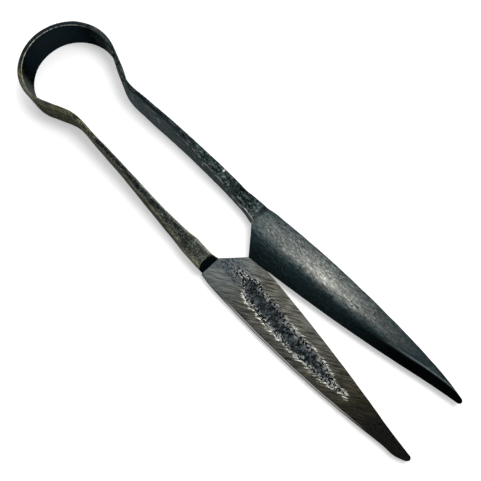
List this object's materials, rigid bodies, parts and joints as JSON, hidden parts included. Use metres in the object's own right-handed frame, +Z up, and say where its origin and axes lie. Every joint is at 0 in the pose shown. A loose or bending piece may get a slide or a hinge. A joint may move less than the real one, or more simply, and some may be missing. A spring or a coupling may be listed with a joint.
{
  "type": "spring shears",
  "caption": "Hand-forged fabric shears: a bow spring on edge, tapering shanks and pointed blades that slide face to face.",
  "frame": {"origin": "under the middle of the shears' box, on the surface that they lie on", "axes": "+X from the bow to the tips, +Y towards the upper blade's arm, +Z up"},
  "size_m": [0.3, 0.0572, 0.018],
  "materials": {
    "blacked_iron": "forge-blackened, hammered, dull sheen",
    "browned_iron": "forge-blackened with an olive-brown patina",
    "ground_iron": "ground face with file marks round a black pitted hollow",
    "edge_steel": "ground steel, darkened with age"
  },
  "bodies": {
    "bow": {"bow_crown": "blacked_iron"},
    "upper_side": {"upper_bow_side": "blacked_iron"},
    "lower_side": {"lower_bow_side": "browned_iron"},
    "upper_arm": {"upper_shank": "blacked_iron", "upper_blade": "blacked_iron", "upper_edge_steel": "edge_steel"},
    "lower_arm": {"lower_shank": "browned_iron", "lower_blade": "ground_iron", "lower_edge_steel": "edge_steel"}
  },
  "joints": [
    {"name": "squeeze", "type": "hinge", "parent": "bow", "child": "lower_side", "pos_m": [-0.14116, -0.01782, 0.009], "axis": [0, 0, 1], "range_deg": [0, 2.6], "stiffness_Nm_per_rad": 130},
    {"name": "lower_neck_flex", "type": "hinge", "parent": "lower_side", "child": "lower_arm", "pos_m": [-0.11696, -0.02244, 0.009], "axis": [0, 0, 1], "range_deg": [0, 1.6], "stiffness_Nm_per_rad": 160},
    {"name": "upper_bow_flex", "type": "hinge", "parent": "bow", "child": "upper_side", "pos_m": [-0.14037, 0.02053, 0.009], "axis": [0, 0, -1], "range_deg": [0, 2.6], "stiffness_Nm_per_rad": 130},
    {"name": "upper_neck_flex", "type": "hinge", "parent": "upper_side", "child": "upper_arm", "pos_m": [-0.11396, 0.0254, 0.009], "axis": [0, 0, -1], "range_deg": [0, 1.6], "stiffness_Nm_per_rad": 160}
  ],
  "couplings": [
    {"joint": "lower_neck_flex", "follows": "squeeze", "ratio": 0.61538},
    {"joint": "upper_bow_flex", "follows": "squeeze", "ratio": 1},
    {"joint": "upper_neck_flex", "follows": "squeeze", "ratio": 0.61538}
  ]
}
